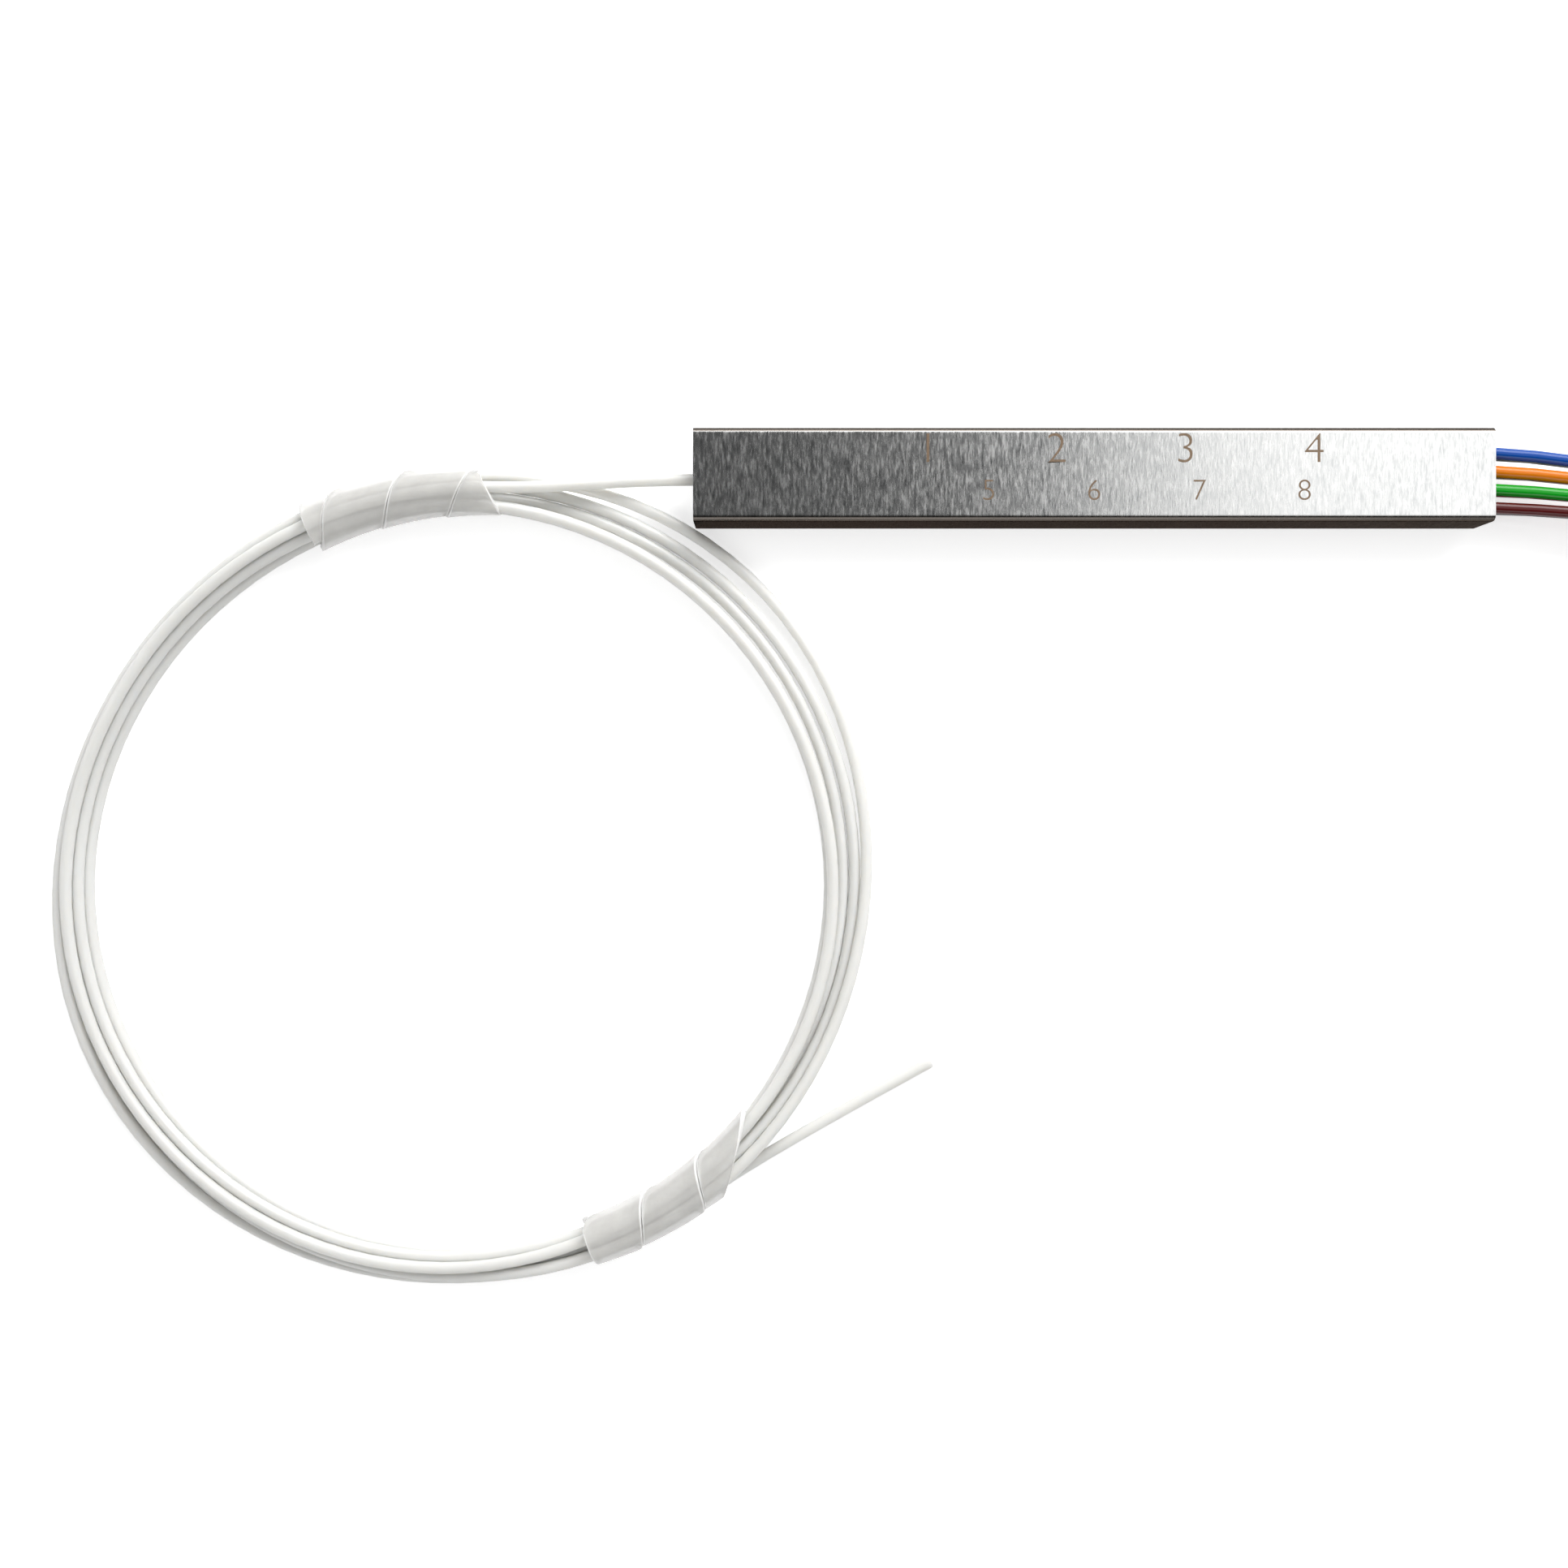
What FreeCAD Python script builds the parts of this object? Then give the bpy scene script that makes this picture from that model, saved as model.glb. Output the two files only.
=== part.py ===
import FreeCAD, Part
import math
import os

# A 1x8 planar fibre splitter. A small steel tube holds a glass splitter chip between an
# input fibre array and an output fibre array. One fibre tube enters on the left and eight
# leave on the right. The spare length of each is coiled and held by two spiral wraps.
#
# Millimetres. Origin: middle of the housing's underside. +X runs from the input end to the
# output end, +Y across the housing, +Z up. Everything lies on the plane z = 0.

V = FreeCAD.Vector

# ---------------------------------------------------------------- driving dimensions

# Housing: a rectangular steel tube
housing_length = 60.0
housing_width = 7.0
housing_height = 4.0
housing_wall = 0.4
housing_edge_radius = 0.45
bore_edge_radius = 0.15

# Fibre tubes and fibres
tube_diameter = 0.9
coat_diameter = 0.24
glass_diameter = 0.125

# End plugs
plug_length = 5.0
plug_recess = 0.15
plug_clearance = 0.01
tube_bore_clearance = 0.02
tube_stick_in = 0.35
output_pitch_y = 1.4
output_pitch_z = 1.2

# Chip train
fibre_pitch = 0.25
output_count = 8
chip_length = 14.0
chip_width = 2.4
chip_x = -1.0
base_thickness = 1.25
lid_thickness = 1.0
array_margin = 0.32
input_array_length = 7.0
output_array_length = 8.0
input_step_length = 2.5
output_step_length = 3.0
facet_angle = 8.0
joint_gap = 0.01
groove_angle = 60.0
bead_length = 1.4
bead_height = 0.5
bed_width = 2.0
bed_overhang = 0.6
fan_straight = 1.5

# Input coil
input_coil_offset_x = 18.5
input_coil_y = -31.05
input_coil_radius = 29.35
input_bundle_radius = 1.35
fan_height = 1.0
fan_low_angle = -22.0
fan_high_angle = 78.0
fan_low_reach = 0.9
fan_mid_reach = 3.45
fan_high_reach = 2.6
lead_end_angle = 93.2
lead_end_offset = 0.3
lead_end_rise = 0.45
tail_start_angle = -61.6
tail_length = 25.8
input_notch_clearance = 0.05

# Spiral wraps on the input coil
input_wrap_wall = 0.4
input_wrap_pitch = 5.2
input_wrap_kerf = 0.28

# Output coil
output_coil_offset_x = 40.2
output_coil_y = -33.1
output_coil_radius = 28.3
output_bundle_radius = 3.9
neck_entry_angle = 86.0
neck_exit_angle = 0.0
neck_offset = 0.4
neck_entry_rise = 2.0
neck_entry_end_height = 4.2
neck_exit_rise = -2.0
neck_exit_end_height = 1.6
neck_clearance = 0.2
bundle_pitch = 0.94

# Spiral wraps on the output coil
output_wrap_wall = 0.5
output_wrap_pitch = 7.4
output_wrap_kerf = 0.5
output_wrap_length = 17.0
output_wrap_angles = (54.0, -125.0)

# Both coils and both kinds of wrap
bundle_sides = 12
wrap_clearance = 0.12
wrap_tip_width = 0.6
wrap_sections_per_turn = 24

output_names = ("blue", "orange", "green", "brown", "slate", "white", "red", "black")

# ---------------------------------------------------------------- values that follow

housing_end = housing_length / 2
bore_width = housing_width - 2 * housing_wall
bore_height = housing_height - 2 * housing_wall
axis_z = housing_height / 2
tube_radius = tube_diameter / 2
plug_outer = housing_end - plug_recess
plug_inner = plug_outer - plug_length
tube_inner_end = plug_inner - tube_stick_in
tube_bore_diameter = tube_diameter + 2 * tube_bore_clearance

chip_start = chip_x - chip_length / 2
chip_end = chip_x + chip_length / 2
base_bottom = axis_z - base_thickness
lid_bottom = axis_z + glass_diameter / 2 + joint_gap
input_array_start = chip_start - joint_gap - input_array_length
output_array_end = chip_end + joint_gap + output_array_length
output_array_width = output_count * fibre_pitch + 2 * array_margin

input_wrap_radius = input_bundle_radius + wrap_clearance + input_wrap_wall
output_wrap_radius = output_bundle_radius + wrap_clearance + output_wrap_wall
input_coil_centre = V(-housing_end - input_coil_offset_x, input_coil_y, input_wrap_radius)
output_coil_centre = V(housing_end + output_coil_offset_x, output_coil_y, output_wrap_radius)


# ---------------------------------------------------------------- shared helpers

def save(name, shape):
    solids = shape.Solids
    assert solids and all(solid.isValid() for solid in solids), name
    shape.exportStep("parts/" + name + ".step")
    print(f"{name:24s} {len(solids)} solid  {shape.Volume:10.4f} mm3")


def block(x_low, x_high, width, z_low, z_high):
    """A box centred on the XZ plane."""
    return Part.makeBox(x_high - x_low, width, z_high - z_low, V(x_low, -width / 2, z_low))


def rounded_bar(length, width, height, radius, x_low, z_low):
    """A bar along X whose four long edges are rounded."""
    bar = block(x_low, x_low + length, width, z_low, z_low + height)
    long_edges = [edge for edge in bar.Edges if abs(edge.tangentAt(edge.FirstParameter).x) > 0.9]
    return bar.makeFillet(radius, long_edges)


def rod(start, end, diameter):
    return Part.makeCylinder(diameter / 2, (end - start).Length, start, end - start)


def around(centre, radius, degrees, z):
    """A point at a radius and an angle about a coil's centre."""
    angle = math.radians(degrees)
    return V(centre.x + radius * math.cos(angle), centre.y + radius * math.sin(angle), z)


def tangent(degrees, way):
    """The level direction along a coil at an angle: way 1 is anticlockwise, -1 clockwise."""
    angle = math.radians(degrees)
    return V(-math.sin(angle), math.cos(angle), 0) * way


def unit(vector):
    return vector * (1 / vector.Length)


def beam(start, direction, length, width, low, high):
    """A box along a direction from a start point. Low and high are measured square to it."""
    along = unit(direction)
    side = unit(V(0, 0, 1).cross(along))
    up = along.cross(side)
    box = Part.makeBox(length, width, high - low, V(0, -width / 2, low))
    frame = FreeCAD.Matrix(along.x, side.x, up.x, start.x,
                           along.y, side.y, up.y, start.y,
                           along.z, side.z, up.z, start.z,
                           0, 0, 0, 1)
    box.Placement = FreeCAD.Placement(frame)
    return box


# ---------------------------------------------------------------- cords

def bend(before, corner, after):
    """The arc that rounds one corner of a route, as its ends, its middle and its radius."""
    back = before - corner
    ahead = after - corner
    setback = 0.45 * min(back.Length, ahead.Length)
    back = unit(back)
    ahead = unit(ahead)
    half_turn = (math.pi - back.getAngle(ahead)) / 2
    radius = setback / math.tan(half_turn)
    inward = unit(back + ahead)
    middle = corner + inward * (radius / math.cos(half_turn) - radius)
    return corner + back * setback, middle, corner + ahead * setback, radius


def cord_tube(name, points, diameter):
    """A round tube along straight runs joined by tangent arcs."""
    edges = []
    radii = []
    here = points[0]
    for index in range(1, len(points) - 1):
        start, middle, end, radius = bend(*points[index - 1:index + 2])
        edges.append(Part.LineSegment(here, start).toShape())
        edges.append(Part.Arc(start, middle, end).toShape())
        radii.append(radius)
        here = end
    edges.append(Part.LineSegment(here, points[-1]).toShape())
    path = Part.Wire(edges)
    ring = Part.Circle(points[0], points[1] - points[0], diameter / 2).toShape()
    tube = path.makePipeShell([Part.Wire([ring])], True, False)
    expected = math.pi * diameter ** 2 / 4 * path.Length
    shown = ", ".join(f"{radius:.1f}" for radius in radii) or "straight"
    print(f"{name}: length {path.Length:.2f}, bend radii {shown}, volume {tube.Volume / expected:.4f} of it")
    return tube


# ---------------------------------------------------------------- housing and plugs

def make_housing():
    shell = rounded_bar(housing_length, housing_width, housing_height, housing_edge_radius, -housing_end, 0)
    bore = rounded_bar(housing_length + 2, bore_width, bore_height, bore_edge_radius,
                       -housing_end - 1, housing_wall)
    save("housing_tube", shell.cut(bore))


def output_place(index):
    """Y and Z of one output tube: four across in an upper row, four in a lower row."""
    columns = output_count // 2
    column = index % columns
    row = index // columns
    y = ((columns - 1) / 2 - column) * output_pitch_y
    return y, axis_z + (0.5 - row) * output_pitch_z


def make_plug(name, x_low, holes):
    body = rounded_bar(plug_length, bore_width - 2 * plug_clearance, bore_height - 2 * plug_clearance,
                       bore_edge_radius, x_low, housing_wall + plug_clearance)
    for y, z in holes:
        hole = rod(V(x_low - 1, y, z), V(x_low + plug_length + 1, y, z), tube_bore_diameter)
        body = body.cut(hole)
    save(name, body)


# ---------------------------------------------------------------- chip train

def facet_block(x_low, x_high, width, z_low, z_high, slant_low, slant_high):
    """A block whose end faces lean by the polish angle where a slant of 1 is given."""
    lean = math.tan(math.radians(facet_angle))
    corners = [(x_low + slant_low * lean * (z_low - axis_z), z_low),
               (x_high + slant_high * lean * (z_low - axis_z), z_low),
               (x_high + slant_high * lean * (z_high - axis_z), z_high),
               (x_low + slant_low * lean * (z_high - axis_z), z_high)]
    outline = [V(x, -width / 2, z) for x, z in corners]
    face = Part.Face(Part.makePolygon(outline + outline[:1]))
    return face.extrude(V(0, width, 0))


def make_chip():
    save("splitter_chip", facet_block(chip_start, chip_end, chip_width, base_bottom, axis_z, 1, 1))
    lid = facet_block(chip_start, chip_end, chip_width, axis_z, axis_z + lid_thickness, 1, 1)
    save("chip_lid", lid)


def groove(x_low, x_high, y):
    """A V-groove in which a bare glass fibre sits with its axis level with the top face."""
    half = math.radians(groove_angle / 2)
    depth = glass_diameter / 2 / math.sin(half)
    above = 0.1
    side = (depth + above) * math.tan(half)
    corners = [V(x_low, y, axis_z - depth), V(x_low, y + side, axis_z + above), V(x_low, y - side, axis_z + above)]
    face = Part.Face(Part.makePolygon(corners + corners[:1]))
    return face.extrude(V(x_high - x_low, 0, 0))


def make_array(name, x_chip, way, length, step_length, width, fibre_ys):
    """A grooved glass base with a low step at its back, and the lid over its grooves.

    way is the direction from the chip to the back of the array."""
    back = x_chip + way * length
    step = back - way * step_length
    low, high = sorted((x_chip, back))
    slants = (1, 0) if way > 0 else (0, 1)
    base = facet_block(low, high, width, base_bottom, axis_z, *slants)
    step_z = axis_z - coat_diameter / 2 - joint_gap
    beyond = back + way
    base = base.cut(block(min(step, beyond), max(step, beyond), width + 1, step_z, axis_z + 1))
    for y in fibre_ys:
        base = base.cut(groove(low - 1, high + 1, y))
    save(name + "_array_base", base)
    low, high = sorted((x_chip, step))
    lid = facet_block(low, high, width, lid_bottom, axis_z + lid_thickness, *slants)
    save(name + "_array_lid", lid)
    make_bead(name, step, way, width - 2 * joint_gap)


def make_bead(name, step, way, width):
    """The fillet of adhesive on the coated fibres behind an array's lid."""
    bottom = axis_z + coat_diameter / 2 + joint_gap
    corner = V(step, -width / 2, bottom)
    toe = corner + V(way * bead_length, 0, 0)
    heel = corner + V(0, 0, bead_height)
    hollow = corner + V(way * 0.4 * bead_length, 0, 0.4 * bead_height)
    slope = Part.Arc(toe, hollow, heel).toShape()
    wire = Part.Wire([Part.LineSegment(corner, toe).toShape(), slope, Part.LineSegment(heel, corner).toShape()])
    save(name + "_bead", Part.Face(wire).extrude(V(0, width, 0)))


def make_bed():
    low = input_array_start - bed_overhang
    high = output_array_end + bed_overhang
    bed = block(low, high, bed_width, housing_wall, base_bottom)
    uprights = [edge for edge in bed.Edges if abs(edge.tangentAt(edge.FirstParameter).z) > 0.9]
    save("chip_bed", bed.makeFillet(0.4 * bed_width, uprights))


# ---------------------------------------------------------------- bare fibres

def output_fibre_y(index):
    """Upper and lower tubes take turns across the array, so that no fibres cross."""
    columns = output_count // 2
    place = 2 * (index % columns) + index // columns
    return ((output_count - 1) / 2 - place) * fibre_pitch


def make_input_fibre():
    step = chip_start - joint_gap - input_array_length + input_step_length
    glass = rod(V(step, 0, axis_z), V(chip_start - joint_gap, 0, axis_z), glass_diameter)
    coated = rod(V(-tube_inner_end, 0, axis_z), V(step, 0, axis_z), coat_diameter)
    save("input_fibre", glass.fuse(coated).removeSplitter())


def make_output_fibre(index):
    y = output_fibre_y(index)
    step = output_array_end - output_step_length
    glass = rod(V(chip_end + joint_gap, y, axis_z), V(step, y, axis_z), glass_diameter)
    tube_y, tube_z = output_place(index)
    route = [V(step, y, axis_z), V(output_array_end + fan_straight, y, axis_z),
             V(tube_inner_end - fan_straight, tube_y, tube_z), V(tube_inner_end, tube_y, tube_z)]
    name = "output_fibre_" + output_names[index]
    coated = cord_tube(name, route, coat_diameter)
    save(name, glass.fuse(coated).removeSplitter())


# ---------------------------------------------------------------- input tube

def input_lead_route():
    end = around(input_coil_centre, input_coil_radius + lead_end_offset, lead_end_angle,
                 input_coil_centre.z + lead_end_rise)
    return [V(-tube_inner_end, 0, axis_z), V(-housing_end - 3.0, 0, axis_z),
            V(-housing_end - 11.6, -0.97, axis_z + 0.15), end]


def input_tail_route():
    start = around(input_coil_centre, input_coil_radius, tail_start_angle, input_coil_centre.z)
    end = start + tangent(tail_start_angle, 1) * tail_length
    return [start, V(end.x, end.y, tube_radius)]


def bundle_ring(centre, radius, bundle_radius):
    """The closed outer shape of a tied coil: a ring whose section is a many-sided figure."""
    corners = []
    for side in range(bundle_sides):
        turn = (side + 0.5) * 2 * math.pi / bundle_sides
        out = radius + bundle_radius * math.sin(turn)
        corners.append(around(centre, out, 0, centre.z + bundle_radius * math.cos(turn)))
    section = Part.Face(Part.makePolygon(corners + corners[:1]))
    return section.revolve(centre, V(0, 0, 1), 360)


def fan_slab():
    """The part of the coil where its turns spread out side by side on the ground."""
    low = around(input_coil_centre, input_coil_radius + fan_low_reach, fan_low_angle, 0)
    high = around(input_coil_centre, input_coil_radius + fan_high_reach, fan_high_angle, 0)
    middle_angle = (fan_low_angle + fan_high_angle) / 2
    outer = Part.Arc(low, around(input_coil_centre, input_coil_radius + fan_mid_reach, middle_angle, 0), high)
    inner_low = around(input_coil_centre, input_coil_radius, fan_low_angle, 0)
    inner_high = around(input_coil_centre, input_coil_radius, fan_high_angle, 0)
    inner = Part.Arc(inner_low, around(input_coil_centre, input_coil_radius, middle_angle, 0), inner_high)
    edges = [Part.LineSegment(inner_low, low).toShape(), outer.toShape(),
             Part.LineSegment(high, inner_high).toShape(), inner.toShape()]
    return Part.Face(Part.Wire(Part.__sortEdges__(edges))).extrude(V(0, 0, fan_height))


def make_input_coil(lead_route, tail_route):
    ring = bundle_ring(input_coil_centre, input_coil_radius, input_bundle_radius)
    ring = ring.fuse(fan_slab())
    reach = 2 * (input_bundle_radius + input_wrap_radius)
    below = -tube_radius - input_notch_clearance
    lead_seat = beam(lead_route[-1], lead_route[-2] - lead_route[-1], 12.0, reach, below, reach)
    tail_seat = beam(tail_route[0], tail_route[1] - tail_route[0], 12.0, reach, below, reach)
    fan_top = fan_height + tube_radius
    corner = around(input_coil_centre, input_coil_radius, fan_high_angle, 0)
    floor_of_fan = Part.makeBox(40.0, 50.0, reach, V(corner.x, corner.y - 45.0, fan_top))
    for cutter in (lead_seat, tail_seat, floor_of_fan):
        ring = ring.cut(cutter)
    save("input_coil", ring.removeSplitter())


# ---------------------------------------------------------------- spiral wraps

def wrap_strip(centre, coil_radius, bore_radius, wall, pitch, kerf, low, high, seam, low_lean, high_lean):
    """A spiral wrap bent along a coil, as one solid strip.

    low and high are the coil angles of its two ends, and seam is an angle at which the cut
    between two turns crosses the top. A lean moves an end along the coil by that many
    millimetres on the outer side and back again on the inner side. The turns climb
    anticlockwise as they pass from the outer side over the top to the inner side."""
    mid = (low + high) / 2
    per_degree = math.radians(1) * coil_radius
    half_width = (pitch - kerf) / 2
    seam_place = (seam - mid) * per_degree + pitch / 4

    def point(place, turn, radius):
        out = coil_radius + radius * math.cos(turn)
        return around(centre, out, mid + place / per_degree, centre.z + radius * math.sin(turn))

    def strip_edges(turn):
        middle = seam_place + pitch * turn / (2 * math.pi)
        start = max(middle - half_width, (low - mid) * per_degree + low_lean * math.cos(turn))
        end = min(middle + half_width, (high - mid) * per_degree + high_lean * math.cos(turn))
        return start, end

    def section(turn, start, end, at_tip):
        middle = (start + end) / 2
        outside = bore_radius + wall
        corners = [point(start, turn, bore_radius), point(start, turn, outside),
                   point(middle, turn, outside), point(end, turn, outside),
                   point(end, turn, bore_radius), point(middle, turn, bore_radius)]
        if at_tip:
            corners[2] = (corners[1] + corners[3]) / 2
            corners[5] = (corners[4] + corners[0]) / 2
        return Part.makePolygon(corners + corners[:1])

    reach = int(((high - low) * per_degree / pitch + 2) * wrap_sections_per_turn)
    turns = [index * 2 * math.pi / wrap_sections_per_turn for index in range(-reach, reach + 1)]
    spans = [(turn,) + strip_edges(turn) for turn in turns]
    spans = [span for span in spans if span[2] - span[1] >= wrap_tip_width]
    tips = (spans[0], spans[-1])
    return Part.makeLoft([section(*span, span in tips) for span in spans], True, True)


def make_input_wraps():
    bore = input_bundle_radius + wrap_clearance
    top = wrap_strip(input_coil_centre, input_coil_radius, bore, input_wrap_wall, input_wrap_pitch,
                     input_wrap_kerf, 84.5, 111.4, 98.3, 1.0, 0.0)
    save("input_wrap_top", top)
    bottom = wrap_strip(input_coil_centre, input_coil_radius, bore, input_wrap_wall, input_wrap_pitch,
                        input_wrap_kerf, -68.6, -43.0, -49.7, 0.0, -2.9)
    save("input_wrap_bottom", bottom)


def make_output_wraps():
    bore = output_bundle_radius + wrap_clearance
    half = math.degrees(output_wrap_length / 2 / output_coil_radius)
    for name, angle in zip(("near", "far"), output_wrap_angles):
        strip = wrap_strip(output_coil_centre, output_coil_radius, bore, output_wrap_wall,
                           output_wrap_pitch, output_wrap_kerf, angle - half, angle + half, angle, 0.0, 0.0)
        save("output_wrap_" + name, strip)


# ---------------------------------------------------------------- output tubes

def neck(angle, way, join_rise, end_height):
    """Where the eight tubes join the coil: the joint's centre and its outer end.

    The neck runs along the coil's tangent until its inner side is clear of the bundle. It joins
    the bundle join_rise above the bundle's middle."""
    half_width = (output_count / 2 * bundle_pitch) / 2
    half_height = bundle_pitch
    join_radius = output_coil_radius + neck_offset
    join = around(output_coil_centre, join_radius, angle, output_coil_centre.z + join_rise)
    level = max(abs(output_coil_centre.z - end_height) - half_height, 0)
    bundle_side = math.sqrt(output_bundle_radius ** 2 - level ** 2)
    clear_radius = output_coil_radius + bundle_side + neck_clearance + half_width
    length = math.sqrt(clear_radius ** 2 - join_radius ** 2)
    end = join + tangent(angle, way) * length
    end.z = end_height
    return join, end


def neck_slots(start, direction):
    """The eight tube centres on the end face of a neck, in the order of the plug's holes."""
    along = unit(direction)
    side = unit(V(0, 0, 1).cross(along))
    up = along.cross(side)
    columns = output_count // 2
    slots = []
    for index in range(output_count):
        across = ((columns - 1) / 2 - index % columns) * bundle_pitch
        rise = (0.5 - index // columns) * bundle_pitch
        slots.append(start + side * across + up * rise)
    return slots


def make_output_coil(entry, leaving):
    ring = bundle_ring(output_coil_centre, output_coil_radius, output_bundle_radius)
    width = output_count / 2 * bundle_pitch
    for join, end in (entry, leaving):
        bar = beam(end, join - end, (join - end).Length, width, -bundle_pitch, bundle_pitch)
        ring = ring.fuse(bar)
    save("output_coil", ring.removeSplitter())


def make_output_leads(entry):
    join, end = entry
    inward = unit(join - end)
    run = 10.2
    for index, slot in enumerate(neck_slots(end, inward)):
        y, z = output_place(index)
        route = [V(tube_inner_end, y, z), V(housing_end + 4.9, y, z), slot - inward * run, slot]
        name = "output_lead_" + output_names[index]
        save(name, cord_tube(name, route, tube_diameter))


def make_output_tails(leaving):
    join, end = leaving
    outward = unit(end - join)
    lengths = (9.5, 8.2, 10.4, 8.8, 9.1, 10.0, 8.5, 9.8)
    for name, slot, length in zip(output_names, neck_slots(end, outward), lengths):
        node = "output_tail_" + name
        save(node, cord_tube(node, [slot, slot + outward * length], tube_diameter))


# ---------------------------------------------------------------- build

make_housing()
make_plug("input_end_plug", -plug_outer, [(0, axis_z)])
make_plug("output_end_plug", plug_inner, [output_place(index) for index in range(output_count)])
make_chip()
make_array("input", chip_start - joint_gap, -1, input_array_length, input_step_length, chip_width, [0])
make_array("output", chip_end + joint_gap, 1, output_array_length, output_step_length,
           output_array_width, [output_fibre_y(index) for index in range(output_count)])
make_bed()
make_input_fibre()
for fibre in range(output_count):
    make_output_fibre(fibre)

lead = input_lead_route()
tail = input_tail_route()
save("input_lead", cord_tube("input_lead", lead, tube_diameter))
save("input_tail", cord_tube("input_tail", tail, tube_diameter))
make_input_coil(lead, tail)
make_input_wraps()

entry_neck = neck(neck_entry_angle, 1, neck_entry_rise, neck_entry_end_height)
exit_neck = neck(neck_exit_angle, -1, neck_exit_rise, neck_exit_end_height)
make_output_coil(entry_neck, exit_neck)
make_output_leads(entry_neck)
make_output_tails(exit_neck)
make_output_wraps()
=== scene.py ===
# %% [markdown]
# A fibre splitter is a small steel tube with glass inside. One fibre tube goes in and eight
# come out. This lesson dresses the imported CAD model: it keeps the steel, the plugs and the
# glass, and makes the tubes, their coils and the plastic spiral wraps again in finer form.

import math

import bpy
import numpy as np
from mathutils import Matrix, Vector


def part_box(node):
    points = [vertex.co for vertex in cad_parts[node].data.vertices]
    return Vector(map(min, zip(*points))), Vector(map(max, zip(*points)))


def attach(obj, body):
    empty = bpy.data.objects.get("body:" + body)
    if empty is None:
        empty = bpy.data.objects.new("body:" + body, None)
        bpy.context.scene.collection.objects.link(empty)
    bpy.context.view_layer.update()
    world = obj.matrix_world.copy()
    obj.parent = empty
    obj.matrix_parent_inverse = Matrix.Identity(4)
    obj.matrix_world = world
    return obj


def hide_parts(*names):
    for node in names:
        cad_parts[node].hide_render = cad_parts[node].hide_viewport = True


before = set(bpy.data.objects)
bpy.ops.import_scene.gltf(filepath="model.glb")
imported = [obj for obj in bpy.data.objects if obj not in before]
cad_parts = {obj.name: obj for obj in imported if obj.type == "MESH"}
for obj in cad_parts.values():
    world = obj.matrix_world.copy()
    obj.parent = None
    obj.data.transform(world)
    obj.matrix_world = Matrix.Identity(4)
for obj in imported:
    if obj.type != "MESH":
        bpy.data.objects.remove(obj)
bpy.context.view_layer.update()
MM = 0.001

# %% [markdown]
# Finishes and wraps are both node trees. A tree is easier to read as a sum, so one small
# class wraps an output socket: arithmetic on it adds Math nodes, and add() adds any other
# node. The same class serves the shader trees and the geometry trees.

# %% A socket that can be added, multiplied and compared


class Wire:
    """One output of a node tree, or a fresh tree when it has no socket yet."""

    def __init__(self, tree, socket=None):
        self.tree = tree
        self.socket = socket

    def add(self, kind, settings=None, sockets=None, output=0):
        """Add a node: first its settings, then its inputs. Gives back one of its outputs."""
        node = self.tree.nodes.new(kind)
        for name, value in (settings or {}).items():
            if name == "stops":
                self.set_stops(node.color_ramp, value)
            else:
                setattr(node, name, value)
        for name, value in (sockets or {}).items():
            if isinstance(value, Wire):
                self.tree.links.new(value.socket, node.inputs[name])
            else:
                node.inputs[name].default_value = value
        return Wire(self.tree, node.outputs[output] if node.outputs else None)

    @staticmethod
    def set_stops(ramp, stops):
        while len(ramp.elements) < len(stops):
            ramp.elements.new(1.0)
        for element, (place, colour) in zip(ramp.elements, stops):
            element.position = place
            element.color = (*colour, 1.0)

    def math(self, operation, *values):
        return self.add("ShaderNodeMath", {"operation": operation}, dict(enumerate(values)))

    def __add__(self, other):
        return self.math("ADD", self, other)

    def __radd__(self, other):
        return self.math("ADD", other, self)

    def __sub__(self, other):
        return self.math("SUBTRACT", self, other)

    def __mul__(self, other):
        return self.math("MULTIPLY", self, other)

    def __rmul__(self, other):
        return self.math("MULTIPLY", other, self)

    def __truediv__(self, other):
        return self.math("DIVIDE", self, other)

    def max(self, other):
        return self.math("MAXIMUM", self, other)

    def min(self, other):
        return self.math("MINIMUM", self, other)


print("node maths ready")

# %% [markdown]
# Every finish here ends in one Principled shader. Its steady numbers are set on the shader's
# own sockets, and only what really changes over the surface is linked to it. Noise is read
# from the object's own metres, stretched where a finish has a direction.

# %% Helpers for finishes


def new_finish(name):
    """A new material with an empty tree, and a wire to start it from."""
    material = bpy.data.materials.new(name)
    material.use_nodes = True
    material.node_tree.nodes.clear()
    return material, Wire(material.node_tree)


def place_of(wire):
    return wire.add("ShaderNodeTexCoord", output="Object")


def stretched(wire, scale):
    """The object's place, with each direction multiplied by its own number."""
    return wire.add("ShaderNodeMapping", {}, {"Vector": place_of(wire), "Scale": scale})


def grain(wire, scale, detail=3.0, roughness=0.55):
    """Noise from 0 to 1 whose grains are 1 / scale metres long in each direction."""
    sockets = {"Vector": stretched(wire, scale), "Scale": 1.0, "Detail": detail,
               "Roughness": roughness}
    return wire.add("ShaderNodeTexNoise", {}, sockets)


def ramp(wire, low, high):
    """A wire's 0 to 1 turned into a colour between two."""
    return wire.add("ShaderNodeValToRGB", {"stops": [(0.0, low), (1.0, high)]}, {"Fac": wire})


def span(wire, low, high):
    """A wire's own range from low to high turned into 0 to 1, with its ends held."""
    sockets = {"Value": wire, "From Min": low, "From Max": high}
    return wire.add("ShaderNodeMapRange", {"clamp": True}, sockets)


def bump(wire, height, depth):
    """A dent in the surface's normal, as deep as depth where a wire's 0 to 1 changes."""
    sockets = {"Height": height, "Distance": depth, "Strength": 1.0}
    return wire.add("ShaderNodeBump", {}, sockets)


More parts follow.
